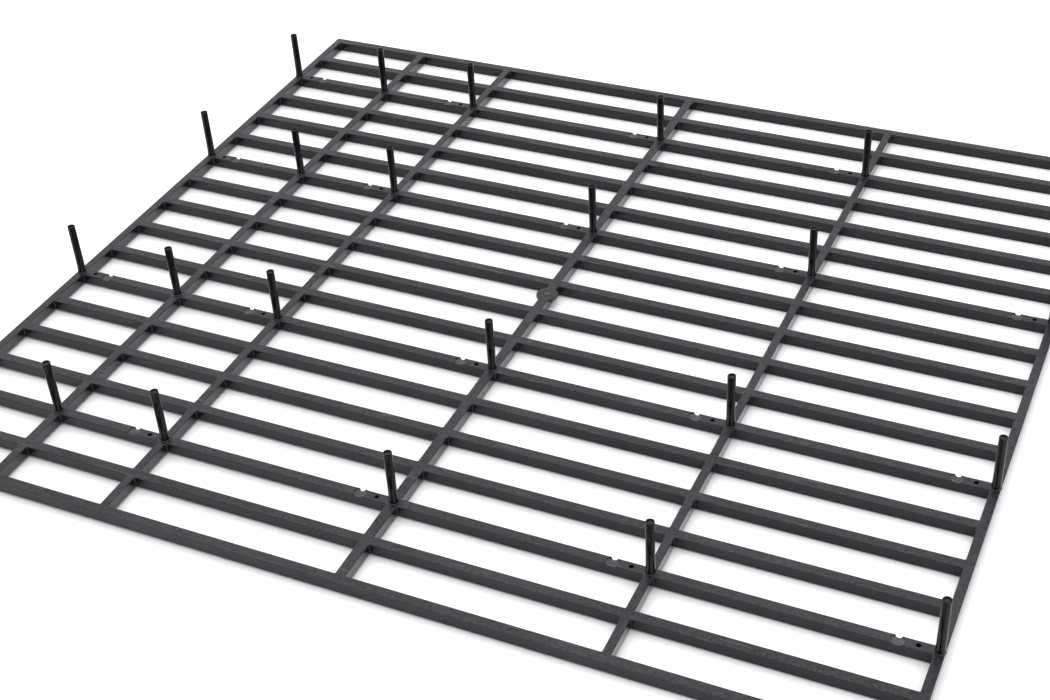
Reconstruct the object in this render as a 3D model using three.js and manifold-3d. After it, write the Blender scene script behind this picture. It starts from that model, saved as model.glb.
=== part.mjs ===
// Peg grid for a bee hive: a flat moulded grid of cross bars and ribs, with round pegs standing on it.
// Millimetres. +X runs along the cross bars, +Y from the front to the back, +Z up.
// The origin is at the middle of the underside, on the surface that the grid lies on.

import * as THREE from 'three';
import { mergeVertices } from 'three/addons/utils/BufferGeometryUtils.js';
import Module from 'manifold-3d';

const wasm = await Module();
wasm.setup();

// Grid
const barPitch = 24.2; // centre to centre of two cross bars
const barCount = 18; // the first and last are the back and front of the frame
const ribGaps = [57.6, 57.6, 114.4, 114.4, 114.4]; // centre to centre of the ribs, from the left
const barWidth = 4.9;
const ribWidths = [4.2, 4.3, 4.0, 4.8, 3.9, 4.2];
const thickness = 5.3;
const halfLap = thickness / 2; // bars keep the upper half of each crossing, ribs the lower half

// Pegs
const pegRows = [2, 6, 11, 15]; // cross bars that carry pegs, counted from the back
const pegHeight = 27.0;
const pegSides = 14;
const pegCollarRadius = 2.42;
const pegCollarHeight = 0.35;
const pegFootRadius = 2.2;
const pegFootHeight = 1.2;
const pegTipRadius = 1.9;
const pegTipRound = 0.3;
const cupRadius = 1.35; // shallow cup in the end of each peg
const cupDepth = 0.7;

// Marks beside the pegs, on the cross bar
const plainRib = 1; // the pegs on this rib have no marks beside them
const holeOffset = 8.1; // blind hole, from the peg's axis
const holeRadius = 1.05;
const holeDepth = 3.2;
const padOffset = 16.0; // round pad mark, from the peg's axis
const padRadius = 2.9; // a little wider than the bar, so it nicks both edges
const padDepth = 0.5;
const nickRadius = 1.3; // rounded nick in the bar's back edge, at the middle of the pad
const nickOut = 0.2; // its centre lies this far behind the bar
const nickDepth = 1.6;

// Thin round gate pad, flush with the top, where the moulding was filled; its rib runs through it
const gateRib = 3;
const gateRadius = 5.4;
const gateThickness = 1.4;
const gateY = 2.0;
const gateSteps = 16;

const gridColour = 0x4a4b4d;
const pegColour = 0x242427;

const ribCentres = placeRibs();
const barCentres = placeBars();
const lastRib = ribCentres.length - 1;
const left = ribCentres[0] - ribWidths[0] / 2;
const right = ribCentres[lastRib] + ribWidths[lastRib] / 2;
const front = barCentres[barCount - 1] - barWidth / 2;
const back = barCentres[0] + barWidth / 2;

function placeRibs() {
  const span = ribGaps.reduce((sum, gap) => sum + gap, 0);
  const centres = [-span / 2];
  for (const gap of ribGaps) {
    centres.push(centres[centres.length - 1] + gap);
  }
  return centres;
}

function placeBars() {
  const half = (barCount - 1) * barPitch / 2;
  return Array.from({ length: barCount }, (_, i) => half - i * barPitch);
}

// Puts every corner on a 0.0001 mm grid, so that two pieces that meet share exactly the same plane.
function settle(geometry) {
  const place = geometry.attributes.position;
  for (let i = 0; i < place.array.length; i += 1) {
    place.array[i] = Math.round(place.array[i] * 10000) / 10000;
  }
  place.needsUpdate = true;
  return geometry;
}

function closed(geometry) {
  geometry.deleteAttribute('normal');
  geometry.deleteAttribute('uv');
  return mergeVertices(settle(geometry), 1e-5);
}

function toSolid(geometry) {
  const merged = closed(geometry);
  return new wasm.Manifold(new wasm.Mesh({
    numProp: 3,
    vertProperties: new Float32Array(merged.attributes.position.array),
    triVerts: new Uint32Array(merged.index.array),
  }));
}

function toGeometry(solid) {
  const mesh = solid.getMesh();
  const geometry = new THREE.BufferGeometry();
  geometry.setAttribute('position', new THREE.BufferAttribute(mesh.vertProperties, 3));
  geometry.setIndex(new THREE.BufferAttribute(mesh.triVerts, 1));
  return settle(geometry);
}

// Side view of a cross bar: a long rectangle with a step up over each rib, along its underside.
function barOutline() {
  const points = [[left, thickness], [left, halfLap]];
  ribCentres.forEach((centre, i) => {
    const from = centre - ribWidths[i] / 2;
    const to = centre + ribWidths[i] / 2;
    if (i > 0) points.push([from, 0], [from, halfLap]);
    if (i < lastRib) points.push([to, halfLap], [to, 0]);
  });
  points.push([right, halfLap], [right, thickness]);
  return points;
}

// Side view of a rib: a long rectangle with a step down under each cross bar, along its top.
function ribOutline() {
  const points = [[front, 0], [front, halfLap]];
  const fromFront = [...barCentres].reverse();
  fromFront.forEach((centre, i) => {
    const from = centre - barWidth / 2;
    const to = centre + barWidth / 2;
    if (i > 0) points.push([from, thickness], [from, halfLap]);
    if (i < fromFront.length - 1) points.push([to, halfLap], [to, thickness]);
  });
  points.push([back, halfLap], [back, 0]);
  return points;
}

function prism(points, width) {
  const shape = new THREE.Shape(points.map(([u, v]) => new THREE.Vector2(u, v)));
  const geometry = new THREE.ExtrudeGeometry(shape, { depth: width, bevelEnabled: false, steps: 1 });
  geometry.translate(0, 0, -width / 2);
  return geometry;
}

function barGeometry(centre) {
  const geometry = prism(barOutline(), barWidth);
  geometry.rotateX(Math.PI / 2); // the outline's height now points up
  geometry.translate(0, centre, 0);
  return closed(geometry);
}

function ribGeometry(centre, width) {
  const geometry = prism(ribOutline(), width);
  geometry.rotateX(Math.PI / 2);
  geometry.rotateZ(Math.PI / 2); // and its length runs from front to back
  geometry.translate(centre, 0, 0);
  return closed(geometry);
}

// An upright cutter that reaches down from above the bar's top face.
function cutter(radius, depth, sides, x, y) {
  const geometry = new THREE.CylinderGeometry(radius, radius, depth + 1, sides);
  geometry.rotateX(Math.PI / 2);
  geometry.translate(x, y, thickness + (1 - depth) / 2);
  return toSolid(geometry);
}

// The marks lie to the left of each peg, and to the right of the pegs on the left edge.
function markSide(rib) {
  return rib === 0 ? 1 : -1;
}

function pegBarGeometry(centre) {
  let solid = toSolid(barGeometry(centre));
  const nickY = centre + barWidth / 2 + nickOut;
  ribCentres.forEach((rib, i) => {
    if (i === plainRib) return;
    const side = markSide(i);
    solid = solid.subtract(cutter(holeRadius, holeDepth, 10, rib + side * holeOffset, centre));
    solid = solid.subtract(cutter(padRadius, padDepth, 20, rib + side * padOffset, centre));
    solid = solid.subtract(cutter(nickRadius, nickDepth, 12, rib + side * padOffset, nickY));
  });
  return toGeometry(solid);
}

// A slightly tapered round peg with a small collar at its foot and a shallow cup in its end.
function pegGeometry(x, y) {
  const top = thickness + pegHeight;
  const profile = [
    [0, thickness],
    [pegCollarRadius, thickness],
    [pegCollarRadius, thickness + pegCollarHeight],
    [pegFootRadius, thickness + pegFootHeight],
    [pegTipRadius, top - pegTipRound],
    [pegTipRadius - pegTipRound, top],
    [cupRadius, top],
    [cupRadius * 0.72, top - cupDepth],
    [0, top - cupDepth],
  ];
  const outline = profile.map(([radius, height]) => new THREE.Vector2(radius, height));
  const geometry = new THREE.LatheGeometry(outline, pegSides);
  geometry.rotateX(Math.PI / 2);
  geometry.translate(x, y, 0);
  return closed(geometry);
}

// The part of the gate pad on one side of the rib: a slice of a disc, with its flat on the rib's side.
function gateGeometry(side) {
  const flat = ribWidths[gateRib] / 2;
  const reach = Math.acos(flat / gateRadius);
  const points = [];
  for (let i = 0; i <= gateSteps; i += 1) {
    const angle = reach * (2 * i / gateSteps - 1);
    const across = Math.max(flat, gateRadius * Math.cos(angle));
    points.push(new THREE.Vector2(side * across, side * gateRadius * Math.sin(angle)));
  }
  const options = { depth: gateThickness, bevelEnabled: false, steps: 1 };
  const geometry = new THREE.ExtrudeGeometry(new THREE.Shape(points), options);
  geometry.translate(ribCentres[gateRib], gateY, thickness - gateThickness);
  return closed(geometry);
}

function addPiece(group, name, geometry, colour, roughness) {
  geometry.computeVertexNormals();
  const material = new THREE.MeshStandardMaterial({ color: colour, roughness, metalness: 0 });
  material.name = name;
  const mesh = new THREE.Mesh(geometry, material);
  mesh.name = name;
  group.add(mesh);
}

const number = (value) => String(value).padStart(2, '0');

function barName(i) {
  if (i === 0) return 'frame_bar_back';
  if (i === barCount - 1) return 'frame_bar_front';
  return `cross_bar_${number(i)}`;
}

function ribName(i) {
  if (i === 0) return 'frame_rib_left';
  if (i === lastRib) return 'frame_rib_right';
  return `rib_${number(i)}`;
}

const group = new THREE.Group();

barCentres.forEach((centre, i) => {
  const geometry = pegRows.includes(i) ? pegBarGeometry(centre) : barGeometry(centre);
  addPiece(group, barName(i), geometry, gridColour, 0.55);
});

ribCentres.forEach((centre, i) => {
  addPiece(group, ribName(i), ribGeometry(centre, ribWidths[i]), gridColour, 0.55);
});

addPiece(group, 'gate_pad_left', gateGeometry(-1), gridColour, 0.6);
addPiece(group, 'gate_pad_right', gateGeometry(1), gridColour, 0.6);

pegRows.forEach((bar, row) => {
  ribCentres.forEach((x, column) => {
    const name = `peg_${row + 1}_${column + 1}`;
    addPiece(group, name, pegGeometry(x, barCentres[bar]), pegColour, 0.3);
  });
});

export default group;
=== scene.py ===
# Peg grid for a bee hive: a black moulded grid of cross bars and ribs, with glossy round pegs standing on it.
import math
import random

import bmesh
import bpy
from mathutils import Matrix, Vector


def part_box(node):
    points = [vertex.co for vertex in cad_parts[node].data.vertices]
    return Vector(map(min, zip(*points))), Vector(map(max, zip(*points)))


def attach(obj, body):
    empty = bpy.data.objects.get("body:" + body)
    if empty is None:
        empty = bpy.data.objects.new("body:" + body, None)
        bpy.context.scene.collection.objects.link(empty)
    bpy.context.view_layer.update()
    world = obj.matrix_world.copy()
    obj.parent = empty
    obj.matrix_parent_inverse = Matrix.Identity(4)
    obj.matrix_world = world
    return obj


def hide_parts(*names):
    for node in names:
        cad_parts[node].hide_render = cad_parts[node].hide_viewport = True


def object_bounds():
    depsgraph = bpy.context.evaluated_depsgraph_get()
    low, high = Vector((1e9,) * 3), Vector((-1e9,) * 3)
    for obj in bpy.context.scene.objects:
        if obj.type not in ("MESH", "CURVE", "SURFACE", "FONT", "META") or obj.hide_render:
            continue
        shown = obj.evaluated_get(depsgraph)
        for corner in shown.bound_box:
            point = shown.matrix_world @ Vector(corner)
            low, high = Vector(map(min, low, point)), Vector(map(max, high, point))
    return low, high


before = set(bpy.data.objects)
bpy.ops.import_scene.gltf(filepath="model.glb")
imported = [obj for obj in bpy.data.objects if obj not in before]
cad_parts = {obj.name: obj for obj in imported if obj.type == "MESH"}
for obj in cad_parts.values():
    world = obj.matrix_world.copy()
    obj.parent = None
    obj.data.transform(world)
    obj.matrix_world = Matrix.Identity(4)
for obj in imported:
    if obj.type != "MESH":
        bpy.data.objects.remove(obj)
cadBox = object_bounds()
mm = 0.001
luck = random.Random(41)

barNames = ["frame_bar_back"] + [f"cross_bar_{i:02d}" for i in range(1, 17)] + ["frame_bar_front"]
ribNames = ["frame_rib_left"] + [f"rib_{i:02d}" for i in range(1, 5)] + ["frame_rib_right"]
barBoxes = [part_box(name) for name in barNames]
ribBoxes = [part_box(name) for name in ribNames]
lowZ, topZ = barBoxes[0][0].z, barBoxes[0][1].z
pegBars = (2, 6, 11, 15)  # cross bars that carry pegs, from the back
plainRib = 1  # the pegs on this rib have no marks beside them
gateBar, gateRib = 8, 3  # the gate pad sits on this rib, just in front of this cross bar
print("frame loaded:", len(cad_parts), "nodes")


def middle(box):
    return (box[0] + box[1]) / 2


def near(a, b):
    return abs(a - b) < 1e-6


def smoothByAngle(piece, angle):
    mesh = piece.data
    mesh.polygons.foreach_set("use_smooth", [True] * len(mesh.polygons))
    mesh.set_sharp_from_angle(angle=math.radians(angle))


def flatFacesStayFlat(piece):
    weights = piece.modifiers.new("flat faces stay flat", "WEIGHTED_NORMAL")
    weights.keep_sharp = True
    weights.weight = 60


def makePiece(bm, name, material, nodes, body="root"):
    mesh = bpy.data.meshes.new(name)
    bm.to_mesh(mesh)
    bm.free()
    piece = bpy.data.objects.new(name, mesh)
    bpy.context.scene.collection.objects.link(piece)
    mesh.materials.append(material)
    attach(piece, body)
    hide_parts(*nodes)
    return piece


# small builders for node trees, all on Object coordinates in metres
def addNode(tree, kind, x, y, **values):
    node = tree.nodes.new(kind)
    node.location = (x, y)
    for key, value in values.items():
        setattr(node, key, value)
    return node


def noiseLayer(tree, x, y, scale, detail=3.0, rough=0.5, stretch=(1, 1, 1), shift=(0, 0, 0)):
    coords = addNode(tree, "ShaderNodeTexCoord", x - 400, y)
    place = addNode(tree, "ShaderNodeMapping", x - 200, y)
    place.inputs["Scale"].default_value = stretch
    place.inputs["Location"].default_value = shift
    noise = addNode(tree, "ShaderNodeTexNoise", x, y)
    noise.inputs["Scale"].default_value = scale
    noise.inputs["Detail"].default_value = detail
    noise.inputs["Roughness"].default_value = rough
    tree.links.new(coords.outputs["Object"], place.inputs["Vector"])
    tree.links.new(place.outputs["Vector"], noise.inputs["Vector"])
    return noise.outputs["Fac"]


def between(tree, value, x, y, fromLow, fromHigh, toLow, toHigh):
    span = addNode(tree, "ShaderNodeMapRange", x, y)
    span.inputs["From Min"].default_value = fromLow
    span.inputs["From Max"].default_value = fromHigh
    span.inputs["To Min"].default_value = toLow
    span.inputs["To Max"].default_value = toHigh
    tree.links.new(value, span.inputs["Value"])
    return span.outputs["Result"]


def doMath(tree, how, x, y, first, second):
    node = addNode(tree, "ShaderNodeMath", x, y, operation=how)
    for socket, value in zip(node.inputs, (first, second)):
        if isinstance(value, (int, float)):
            socket.default_value = value
        else:
            tree.links.new(value, socket)
    return node.outputs["Value"]


def mixColours(tree, x, y, factor, first, second):
    mix = addNode(tree, "ShaderNodeMix", x, y, data_type="RGBA")
    tree.links.new(factor, mix.inputs["Factor"])
    for socket, value in ((mix.inputs[6], first), (mix.inputs[7], second)):
        if isinstance(value, tuple):
            socket.default_value = (*value, 1)
        else:
            tree.links.new(value, socket)
    return mix.outputs[2]


def bumpLayer(tree, x, y, height, depth, strength, below=None):
    bump = addNode(tree, "ShaderNodeBump", x, y)
    bump.inputs["Distance"].default_value = depth
    bump.inputs["Strength"].default_value = strength
    tree.links.new(height, bump.inputs["Height"])
    if below:
        tree.links.new(below, bump.inputs["Normal"])
    return bump.outputs["Normal"]


gridFinish = {
    "deep": (0.0012, 0.0016, 0.0030),  # body colour in the darker swirls and flecks
    "pale": (0.0270, 0.0285, 0.0320),  # and in the paler ones
    "fleckScale": 820,
    "edge": (0.028, 0.029, 0.033),  # painted light: the rounded edges are paler, so the top shades softly into the front
    "dust": (0.10, 0.10, 0.098),
    "roughLow": 0.33,
    "roughHigh": 0.46,
    "wallRough": 0.13,  # the upright walls left the mould smoother than the tops
    "ribPolish": 0.7,  # and the sides of the ribs shinier still
    "polishRough": 0.12,
    "grainDepth": 0.07 * mm,
    "grainScale": 1250,
    "ripple": 0.05 * mm,
    "ior": 1.36,
}

# the same plastic, paler: scraped at the pad marks and gate scar, and a painted highlight on the rings round the pegs
scuffAndHighlightFinish = dict(
    gridFinish, deep=(0.022, 0.0225, 0.024), pale=(0.075, 0.076, 0.08), dust=(0.2, 0.2, 0.2),
    roughLow=0.45, roughHigh=0.6, grainDepth=0.12 * mm,
)


def makeGridPlastic(name, look):
    material = bpy.data.materials.new(name)
    material.use_nodes = True
    tree = material.node_tree
    shader = tree.nodes["Principled BSDF"]
    facing = addNode(tree, "ShaderNodeTexCoord", -1400, -600)
    split = addNode(tree, "ShaderNodeSeparateXYZ", -1200, -600)
    tree.links.new(facing.outputs["Normal"], split.inputs["Vector"])
    upward = between(tree, doMath(tree, "ABSOLUTE", -1000, -600, split.outputs["Z"], 0), -850, -600, 0.25, 0.75, 0, 1)
    sideways = doMath(tree, "ABSOLUTE", -1000, -1100, split.outputs["X"], 0)
    tree.links.new(between(tree, sideways, -850, -1100, 0.7, 0.95, 0, look["ribPolish"]), shader.inputs["Coat Weight"])
    shader.inputs["Coat Roughness"].default_value = look["polishRough"]
    swirl = noiseLayer(tree, -1200, 500, 42, 4, 0.6, stretch=(0.35, 1, 1))
    fleck = noiseLayer(tree, -1200, 800, look["fleckScale"], 2.5, 0.65)
    topFleck = doMath(tree, "MULTIPLY", -850, 800, between(tree, fleck, -1000, 800, 0.4, 0.6, 0, 0.6), upward)
    tone = doMath(tree, "ADD", -850, 600, between(tree, swirl, -1000, 500, 0.3, 0.72, 0, 0.4), topFleck)
    # painted light: the rounded edges, half way between level and upright, are mixed towards the paler edge colour
    paintedEdgeLight = doMath(tree, "MULTIPLY", -850, 1000, doMath(tree, "MULTIPLY", -1000, 1000, upward, 3.4),
                  doMath(tree, "SUBTRACT", -1000, 1100, 1, upward))
    body = mixColours(tree, -500, 600, paintedEdgeLight, mixColours(tree, -700, 600, tone, look["deep"], look["pale"]),
                      look["edge"])
    speck = noiseLayer(tree, -1200, 200, 900, 1.5, 0.5)
    patch = noiseLayer(tree, -1200, 0, 60, 2, 0.5, shift=(3.1, 0.4, 7.7))
    dust = doMath(tree, "MULTIPLY", -700, 150, between(tree, speck, -950, 200, 0.735, 0.76, 0, 1),
                  between(tree, patch, -950, 0, 0.45, 0.6, 0, 0.8))
    scratch = noiseLayer(tree, -1200, -200, 260, 1, 0.4, stretch=(0.22, 2.6, 1), shift=(0.3, 1.9, 0))
    hairline = doMath(tree, "MULTIPLY", -700, -150, between(tree, scratch, -950, -200, 0.72, 0.735, 0, 0.35), upward)
    marks = doMath(tree, "MAXIMUM", -500, 50, dust, hairline)
    tree.links.new(mixColours(tree, -300, 400, marks, body, look["dust"]), shader.inputs["Base Color"])
    cloud = noiseLayer(tree, -1200, -450, 130, 3, 0.55)
    topRough = between(tree, cloud, -700, -450, 0.3, 0.7, look["roughLow"], look["roughHigh"])
    rough = addNode(tree, "ShaderNodeMix", -500, -450)
    tree.links.new(upward, rough.inputs["Factor"])
    rough.inputs["A"].default_value = look["wallRough"]
    tree.links.new(topRough, rough.inputs["B"])
    tree.links.new(doMath(tree, "ADD", -300, -200, rough.outputs["Result"],
                          doMath(tree, "MULTIPLY", -500, -300, marks, 0.3)), shader.inputs["Roughness"])
    ripple = bumpLayer(tree, -500, -700, noiseLayer(tree, -1200, -700, 95, 2, 0.5, stretch=(0.5, 1, 1)),
                       look["ripple"], 0.35)
    grain = bumpLayer(tree, -300, -700, noiseLayer(tree, -1200, -900, look["grainScale"], 3, 0.65),
                      look["grainDepth"], 0.6, ripple)
    tree.links.new(grain, shader.inputs["Normal"])
    shader.inputs["IOR"].default_value = look["ior"]
    return material


pegFinish = {
    "deep": (0.0020, 0.0020, 0.0028),
    "pale": (0.0045, 0.0045, 0.0058),
    "roughLow": 0.13,
    "roughHigh": 0.22,
    "drawDepth": 0.02 * mm,  # faint upright draw lines from the mould
    "ior": 1.31,
}


def makePegPlastic(look):
    material = bpy.data.materials.new("glossy black peg")
    material.use_nodes = True
    tree = material.node_tree
    shader = tree.nodes["Principled BSDF"]
    tone = between(tree, noiseLayer(tree, -1100, 400, 160, 3, 0.55), -850, 400, 0.3, 0.7, 0, 1)
    tree.links.new(mixColours(tree, -500, 400, tone, look["deep"], look["pale"]), shader.inputs["Base Color"])
    haze = noiseLayer(tree, -1100, 100, 420, 3, 0.6)
    tree.links.new(between(tree, haze, -700, 100, 0.3, 0.7, look["roughLow"], look["roughHigh"]),
                   shader.inputs["Roughness"])
    draw = noiseLayer(tree, -1100, -200, 900, 2, 0.5, stretch=(1, 1, 0.04))
    tree.links.new(bumpLayer(tree, -400, -200, draw, look["drawDepth"], 0.5), shader.inputs["Normal"])
    shader.inputs["IOR"].default_value = look["ior"]
    return material


gridPlastic = makeGridPlastic("satin black moulding", gridFinish)
scuffedAndHighlitPlastic = makeGridPlastic("scuffed and highlit black moulding", scuffAndHighlightFinish)
pegPlastic = makePegPlastic(pegFinish)
print("materials ready")


barShape = {
    "cornerRadius": 0.5 * mm,  # fillet in the corners of the openings
    "cornerSteps": 4,
    "outerCorner": 1.2 * mm,  # rounding of the frame's four corners
    "topRound": 0.42 * mm,  # soft upper edges
    "topSteps": 4,
    "lowRound": 0.35 * mm,
    "lowSteps": 3,
    "stub": 2.4 * mm,  # how far each crossing runs out along its rib before the rib's own piece starts
}

markShape = {
    "holeOut": 8.1 * mm,  # from the peg's axis
    "holeRadius": 1.05 * mm,
    "holeDepth": 3.2 * mm,
    "padOut": 16.0 * mm,
    "padRadius": 2.88 * mm,
    "padDepth": 0.45 * mm,
    "nickRadius": 1.28 * mm,
    "nickOut": 0.2 * mm,  # the centre of the nick lies this far behind the bar
    "nickDepth": 1.58 * mm,
    "burrRadius": 0.38 * mm,  # a crumb of flash stands at each end of the nick in the back edge
    "burrHeight": 0.45 * mm,
    "burrOut": 0.3 * mm,  # past the end of the nick
    "burrIn": 0.4 * mm,  # in from the back edge
}


def roundEdges(bm, cutPlanes, level, radius, steps):
    edges = []
    for edge in bm.edges:
        first, second = (vert.co for vert in edge.verts)
        onCut = any(near(first.y, y) and near(second.y, y) for y in cutPlanes)
        if near(first.z, level) and near(second.z, level) and not onCut:
            edges.append(edge)
    bmesh.ops.bevel(bm, geom=edges, offset=radius, offset_type="OFFSET", affect="EDGES",
                    segments=steps, profile=0.5, material=-1)


def roundTopAndBottom(bm, cutPlanes):
    roundEdges(bm, cutPlanes, topZ, barShape["topRound"], barShape["topSteps"])
    roundEdges(bm, cutPlanes, lowZ, barShape["lowRound"], barShape["lowSteps"])


def thicken(bm, height):
    grown = bmesh.ops.extrude_face_region(bm, geom=bm.faces[:])
    corners = [item for item in grown["geom"] if isinstance(item, bmesh.types.BMVert)]
    bmesh.ops.translate(bm, vec=(0, 0, height), verts=corners)
    bmesh.ops.recalc_face_normals(bm, faces=bm.faces[:])


def barPlan(bm, i):
    low, high = barBoxes[i]
    xs = []
    for ribLow, ribHigh in ribBoxes:
        xs += [ribLow.x, ribHigh.x]
    ys = [low.y, high.y]
    cutPlanes = []
    if i > 0:
        ys.append(high.y + barShape["stub"])
        cutPlanes.append(ys[-1])
    if i < len(barBoxes) - 1:
        ys.insert(0, low.y - barShape["stub"])
        cutPlanes.append(ys[0])
    bmesh.ops.create_grid(bm, x_segments=len(xs) - 1, y_segments=len(ys) - 1, size=1)
    for vert in bm.verts:
        column = round((vert.co.x + 1) / 2 * (len(xs) - 1))
        row = round((vert.co.y + 1) / 2 * (len(ys) - 1))
        vert.co = (xs[column], ys[row], lowZ)
    gaps = []
    for face in bm.faces:
        place = face.calc_center_median()
        offBar = not low.y < place.y < high.y
        offRib = not any(box[0].x < place.x < box[1].x for box in ribBoxes)
        if offBar and offRib:
            gaps.append(face)
    bmesh.ops.delete(bm, geom=gaps, context="FACES")
    inner = [vert for vert in bm.verts if len(vert.link_faces) == 3]
    outer = []
    for vert in bm.verts:
        atCut = any(near(vert.co.y, y) for y in cutPlanes)
        if len(vert.link_faces) == 1 and not atCut:
            outer.append(vert)
    bmesh.ops.dissolve_faces(bm, faces=bm.faces[:], use_verts=False)
    straight = [vert for vert in bm.verts if vert not in inner and vert not in outer
                and not any(near(vert.co.y, y) for y in cutPlanes)]
    bmesh.ops.dissolve_verts(bm, verts=straight)
    return inner, outer, cutPlanes


def markPlaces():
    places = []
    for column, box in enumerate(ribBoxes):
        if column != plainRib:
            side = 1 if column == 0 else -1  # right of the pegs on the left edge, and left of the others
            x = middle(box).x
            places.append((x + side * markShape["holeOut"], x + side * markShape["padOut"]))
    return places


def makeCutters(i):
    cutters = bmesh.new()
    above = 1 * mm  # each cutter stands this far out of the top
    midY = middle(barBoxes[i]).y
    nickY = barBoxes[i][1].y + markShape["nickOut"]
    for holeX, padX in markPlaces():
        for x, y, radius, depth, steps in (
            (holeX, midY, markShape["holeRadius"], markShape["holeDepth"], 20),
            (padX, midY, markShape["padRadius"], markShape["padDepth"], 40),
            (padX, nickY, markShape["nickRadius"], markShape["nickDepth"], 18),
        ):
            place = Matrix.Translation((x, y, topZ + (above - depth) / 2))
            bmesh.ops.create_cone(cutters, cap_ends=True, segments=steps, radius1=radius, radius2=radius,
                                  depth=depth + above, matrix=place)
    mesh = bpy.data.meshes.new("cutters")
    cutters.to_mesh(mesh)
    cutters.free()
    cutter = bpy.data.objects.new("cutters", mesh)
    bpy.context.scene.collection.objects.link(cutter)
    return cutter


def cutAway(piece, cutter):
    cut = piece.modifiers.new("marks", "BOOLEAN")
    cut.operation = "DIFFERENCE"
    cut.solver = "EXACT"
    cut.use_self = True  # the nick's cutter overlaps the pad's
    cut.object = cutter
    graph = bpy.context.evaluated_depsgraph_get()
    graph.update()
    result = bpy.data.meshes.new_from_object(piece.evaluated_get(graph))
    piece.modifiers.remove(cut)
    piece.data = result
    bpy.data.objects.remove(cutter)


def finishPads(piece, i):
    piece.data.materials.append(scuffedAndHighlitPlastic)
    bm = bmesh.new()
    bm.from_mesh(piece.data)
    for face in bm.faces:
        if near(face.calc_center_median().z, topZ - markShape["padDepth"]) and face.normal.z > 0.9:
            face.material_index = 1
    burrY = barBoxes[i][1].y - markShape["burrIn"]
    for _, padX in markPlaces():
        for end in (-1, 1):
            place = Vector((padX + end * (markShape["nickRadius"] + markShape["burrOut"]), burrY, topZ))
            burr = bmesh.ops.create_cone(
                bm, cap_ends=True, segments=7, radius1=markShape["burrRadius"],
                radius2=markShape["burrRadius"] * 0.35, depth=markShape["burrHeight"],
                matrix=Matrix.Translation(place),
            )
            for vert in burr["verts"]:
                vert.co.x += luck.uniform(-0.1, 0.1) * mm
                vert.co.z += luck.uniform(-0.08, 0.08) * mm
    bm.to_mesh(piece.data)
    bm.free()


def makeBar(i):
    bm = bmesh.new()
    inner, outer, cutPlanes = barPlan(bm, i)
    bmesh.ops.bevel(bm, geom=inner, offset=barShape["cornerRadius"], offset_type="OFFSET", affect="VERTICES",
                    segments=barShape["cornerSteps"], profile=0.5, material=-1)
    if i in (0, len(barBoxes) - 1):
        outer = [vert for vert in outer if vert.is_valid]
        bmesh.ops.bevel(bm, geom=outer, offset=barShape["outerCorner"], offset_type="OFFSET", affect="VERTICES",
                        segments=4, profile=0.5, material=-1)
    thicken(bm, topZ - lowZ)
    roundTopAndBottom(bm, cutPlanes)
    piece = makePiece(bm, "bar_" + barNames[i], gridPlastic, [barNames[i]])
    if i in pegBars:
        cutAway(piece, makeCutters(i))
        finishPads(piece, i)
    smoothByAngle(piece, 38)
    flatFacesStayFlat(piece)


for i in range(len(barBoxes)):
    makeBar(i)
print("cross bars made")


def ribStretch(bm, box, i, height):
    start = barBoxes[i + 1][1].y + barShape["stub"]
    end = barBoxes[i][0].y - barShape["stub"]
    size = Matrix.Diagonal((box[1].x - box[0].x, end - start, height, 1))
    place = Matrix.Translation((middle(box).x, (start + end) / 2, lowZ + height / 2))
    bmesh.ops.create_cube(bm, size=1, matrix=place @ size)
    return start, end


def makeRib(column):
    bm = bmesh.new()
    cutPlanes = []
    for i in range(len(barBoxes) - 1):
        if (column, i) != (gateRib, gateBar):
            cutPlanes += ribStretch(bm, ribBoxes[column], i, topZ - lowZ)
    roundTopAndBottom(bm, cutPlanes)
    piece = makePiece(bm, "strip_" + ribNames[column], gridPlastic, [ribNames[column]])
    smoothByAngle(piece, 38)
    flatFacesStayFlat(piece)


for column in range(len(ribBoxes)):
    makeRib(column)
print("ribs made")


gateShape = {
    "steps": 20,
    "neck": 0.8 * mm,  # fillet where the pad runs into the rib
    "scarRadius": 1.7 * mm,
    "scarHeight": 0.3 * mm,
}


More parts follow.
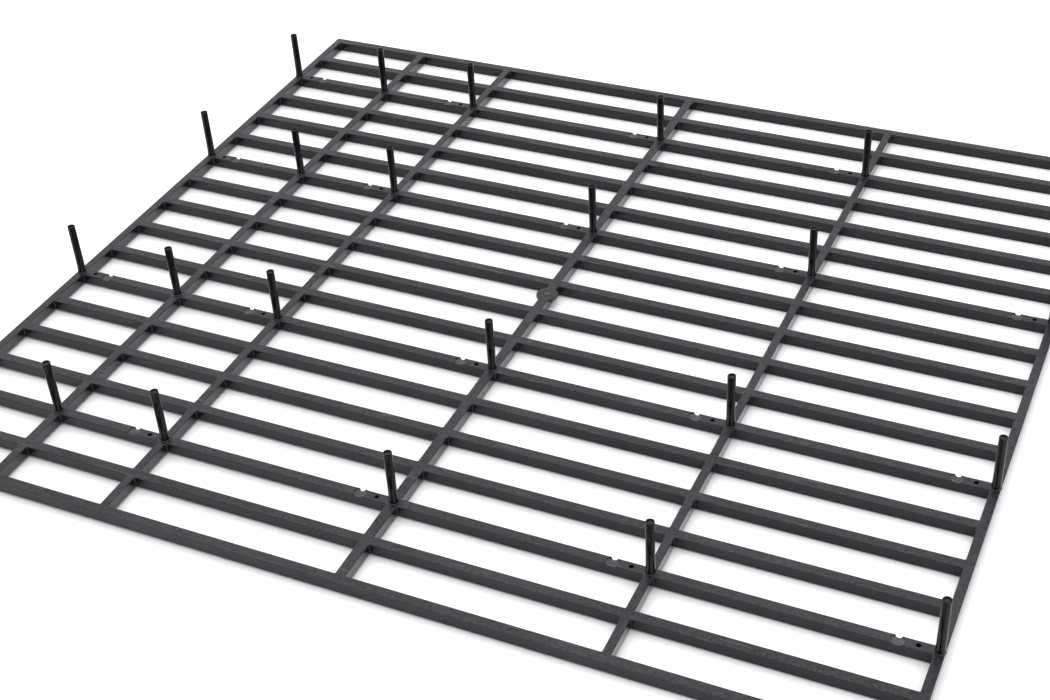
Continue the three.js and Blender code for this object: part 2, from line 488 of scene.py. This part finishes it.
def makeGatePad():
    bm = bmesh.new()
    left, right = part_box("gate_pad_left"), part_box("gate_pad_right")
    rib = ribBoxes[gateRib]
    centre = Vector((middle(rib).x, middle(left).y, left[0].z))  # of the disc's underside
    reach = right[1].x - centre.x
    half = (rib[1].x - rib[0].x) / 2
    start = barBoxes[gateBar + 1][1].y + barShape["stub"]
    end = barBoxes[gateBar][0].y - barShape["stub"]
    corners = []
    for side in (1, -1):
        first = bm.verts.new(centre + Vector((side * half, -side * math.sqrt(reach ** 2 - half ** 2), 0)))
        arc = bmesh.ops.spin(bm, geom=[first], cent=centre, axis=(0, 0, 1),
                             angle=2 * math.acos(half / reach), steps=gateShape["steps"])
        last = next(item for item in arc["geom_last"] if isinstance(item, bmesh.types.BMVert))
        low = bm.verts.new((centre.x + side * half, start if side > 0 else end, centre.z))
        high = bm.verts.new((centre.x + side * half, end if side > 0 else start, centre.z))
        bm.edges.new((low, first))
        bm.edges.new((last, high))
        corners += [first, last, low, high]
    for vert in bm.verts:
        if vert not in corners:
            vert.co = centre + (vert.co - centre) * luck.uniform(0.965, 0.998)  # a ragged moulded edge
    bm.edges.new((corners[3], corners[6]))
    bm.edges.new((corners[7], corners[2]))
    bmesh.ops.contextual_create(bm, geom=bm.edges[:])
    necks = [corners[0], corners[1], corners[4], corners[5]]
    bmesh.ops.bevel(bm, geom=necks, offset=gateShape["neck"], offset_type="OFFSET", affect="VERTICES",
                    segments=3, profile=0.5, material=-1)
    thicken(bm, topZ - centre.z)
    ribStretch(bm, rib, gateBar, centre.z - lowZ)
    roundTopAndBottom(bm, (start, end))
    place = Matrix.Translation((centre.x, centre.y, topZ + gateShape["scarHeight"] / 2 - 0.1 * mm))
    scar = bmesh.ops.create_cone(bm, cap_ends=True, segments=18, radius1=gateShape["scarRadius"],
                                 radius2=gateShape["scarRadius"] * 0.86, depth=gateShape["scarHeight"], matrix=place)
    for vert in scar["verts"]:
        vert.co.x += luck.uniform(-0.08, 0.08) * mm
        vert.co.y += luck.uniform(-0.08, 0.08) * mm
    for face in bm.faces:
        if face.calc_center_median().z > topZ + 0.01 * mm:
            face.material_index = 1
    piece = makePiece(bm, "gate_pad", gridPlastic, ["gate_pad_left", "gate_pad_right"])
    piece.data.materials.append(scuffedAndHighlitPlastic)
    smoothByAngle(piece, 38)
    flatFacesStayFlat(piece)


makeGatePad()
print("gate pad made")


pegShape = {
    "sides": 32,
    "ringRadius": 2.34 * mm,  # thin ring on the grid round the foot
    "ringHeight": 0.3 * mm,
    "footRadius": 2.2 * mm,
    "footHeight": 3.2 * mm,  # the foot flares out below this height
    "shaftRadius": 1.94 * mm,
    "tipRadius": 1.86 * mm,
    "rimRound": 0.2 * mm,
    "cupRadius": 1.4 * mm,
    "cupDepth": 0.75 * mm,
    "lean": 0.3,  # degrees, at most
}


def makePeg(row, column):
    name = f"peg_{row + 1}_{column + 1}"
    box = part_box(name)
    foot = Vector((middle(ribBoxes[column]).x, middle(barBoxes[pegBars[row]]).y, topZ))
    tall = box[1].z - topZ - 0.05 * mm
    shape = pegShape
    profile = [
        (0, -0.3 * mm), (shape["ringRadius"], -0.3 * mm), (shape["ringRadius"], shape["ringHeight"]),
        (shape["ringRadius"] - 0.16 * mm, shape["ringHeight"]),
        (shape["footRadius"] - 0.08 * mm, shape["ringHeight"] + 0.14 * mm),
        (shape["footRadius"], shape["ringHeight"] + 0.4 * mm),
        (shape["footRadius"] - 0.1 * mm, shape["footHeight"] * 0.45),
        (shape["shaftRadius"], shape["footHeight"]),
        (shape["tipRadius"], tall), (shape["cupRadius"], tall),
        (shape["cupRadius"] - 0.15 * mm, tall - shape["cupDepth"]), (0, tall - shape["cupDepth"] - 0.08 * mm),
    ]
    bm = bmesh.new()
    verts = [bm.verts.new((radius, 0, height)) for radius, height in profile]
    lines = [bm.edges.new(pair) for pair in zip(verts, verts[1:])]
    bmesh.ops.spin(bm, geom=verts + lines, cent=(0, 0, 0), axis=(0, 0, 1), angle=math.tau,
                   steps=shape["sides"], use_merge=True)
    bmesh.ops.remove_doubles(bm, verts=bm.verts[:], dist=1e-6)
    bmesh.ops.recalc_face_normals(bm, faces=bm.faces[:])
    rims = []
    for edge in bm.edges:
        first, second = edge.verts
        level = near(first.co.z, second.co.z)
        outside = min(first.co.xy.length, second.co.xy.length) > shape["cupRadius"] * 0.8
        if level and outside and edge.calc_face_angle(0) > math.radians(30) and first.co.z > 0:
            rims.append(edge)
    bmesh.ops.bevel(bm, geom=rims, offset=shape["rimRound"] * 0.8, offset_type="OFFSET", affect="EDGES",
                    segments=3, profile=0.5, material=-1)
    # the ring round the foot takes the paler plastic as a painted highlight
    for face in bm.faces:
        if face.calc_center_median().z < shape["ringHeight"] + 0.05 * mm:
            face.material_index = 1
    tilt = Matrix.Rotation(math.radians(luck.uniform(0, shape["lean"])), 4,
                           Vector((luck.uniform(-1, 1), luck.uniform(-1, 1), 0)).normalized())
    bmesh.ops.transform(bm, matrix=Matrix.Translation(foot) @ tilt, verts=bm.verts[:])
    piece = makePiece(bm, "round_" + name, pegPlastic, [name])
    piece.data.materials.append(scuffedAndHighlitPlastic)  # the ring, paler as a painted highlight
    smoothByAngle(piece, 45)


for row in range(len(pegBars)):
    for column in range(len(ribBoxes)):
        makePeg(row, column)
print("pegs made")


floorLook = {
    "size": 6.0,
    "drop": 0.5 * mm,  # the table falls away this much along each side of the slightly bowed grid
    "colour": (0.95, 0.945, 0.95),
    "mottle": (0.94, 0.935, 0.94),
    "roughness": 0.5,
}


def makeFloor(look):
    bm = bmesh.new()
    bmesh.ops.create_grid(bm, x_segments=1, y_segments=1, size=look["size"] / 2)
    corner = cadBox[1]  # the back right corner stays on the table
    for vert in bm.verts:
        vert.co.z -= look["drop"] * ((corner.x - vert.co.x) / (2 * corner.x) + (corner.y - vert.co.y) / (2 * corner.y))
    mesh = bpy.data.meshes.new("floor")
    bm.to_mesh(mesh)
    bm.free()
    floor = bpy.data.objects.new("floor", mesh)
    bpy.context.scene.collection.objects.link(floor)
    material = bpy.data.materials.new("pale table")
    material.use_nodes = True
    tree = material.node_tree
    shader = tree.nodes["Principled BSDF"]
    tone = between(tree, noiseLayer(tree, -900, 200, 6, 3, 0.5), -650, 200, 0.35, 0.65, 0, 1)
    tree.links.new(mixColours(tree, -300, 200, tone, look["colour"], look["mottle"]), shader.inputs["Base Color"])
    shader.inputs["Roughness"].default_value = look["roughness"]
    mesh.materials.append(material)


makeFloor(floorLook)

lightPlan = {
    "skyLeft": 1.32,  # strength towards the left, where the room's window is
    "skyRight": 1.02,
    "skyColour": (0.975, 0.975, 1.0),
    "panels": [
        # name, place, size, power in watts
        ("overhead panel", (-0.15, 0.35, 1.6), 2.0, 14.0),
        ("window panel", (1.1, 0.1, 1.1), 0.9, 2.0),
    ],
}


def makeLights(plan):
    world = bpy.data.worlds.new("studio")
    world.use_nodes = True
    tree = world.node_tree
    sky = tree.nodes["Background"]
    sky.inputs["Color"].default_value = (*plan["skyColour"], 1)
    direction = addNode(tree, "ShaderNodeTexCoord", -800, 0)
    split = addNode(tree, "ShaderNodeSeparateXYZ", -600, 0)
    tree.links.new(direction.outputs["Generated"], split.inputs["Vector"])
    tree.links.new(between(tree, split.outputs["X"], -400, 0, -1, 1, plan["skyLeft"], plan["skyRight"]),
                   sky.inputs["Strength"])
    bpy.context.scene.world = world
    bpy.context.scene.view_settings.view_transform = "Standard"
    for name, place, size, power in plan["panels"]:
        light = bpy.data.lights.new(name, "AREA")
        light.shape = "SQUARE"
        light.size = size
        light.energy = power
        lamp = bpy.data.objects.new(name, light)
        lamp.location = place
        lamp.rotation_euler = (-Vector(place)).to_track_quat("-Z", "Y").to_euler()
        bpy.context.scene.collection.objects.link(lamp)


makeLights(lightPlan)

cameraPlan = {
    "azimuth": 26.571,  # degrees round to the right of straight in front
    "elevation": 37.099,
    "roll": -3.783,
    "distance": 790.5 * mm,
    "aim": (8.87 * mm, -42.85 * mm, topZ),  # where its axis meets the top of the grid
    "lens": 58.47,
}


def makeCamera(plan):
    turn, rise = math.radians(plan["azimuth"]), math.radians(plan["elevation"])
    back = Vector((math.sin(turn) * math.cos(rise), -math.cos(turn) * math.cos(rise), math.sin(rise)))
    camera = bpy.data.objects.new("camera", bpy.data.cameras.new("camera"))
    look = back.to_track_quat("Z", "Y").to_matrix().to_4x4()
    roll = Matrix.Rotation(math.radians(plan["roll"]), 4, "Z")
    camera.matrix_world = Matrix.Translation(Vector(plan["aim"]) + back * plan["distance"]) @ look @ roll
    camera.data.lens = plan["lens"]
    camera.data.sensor_width = 36
    camera.data.clip_start = 0.01
    bpy.context.scene.collection.objects.link(camera)
    bpy.context.scene.camera = camera


makeCamera(cameraPlan)
print("floor, lights and camera ready")
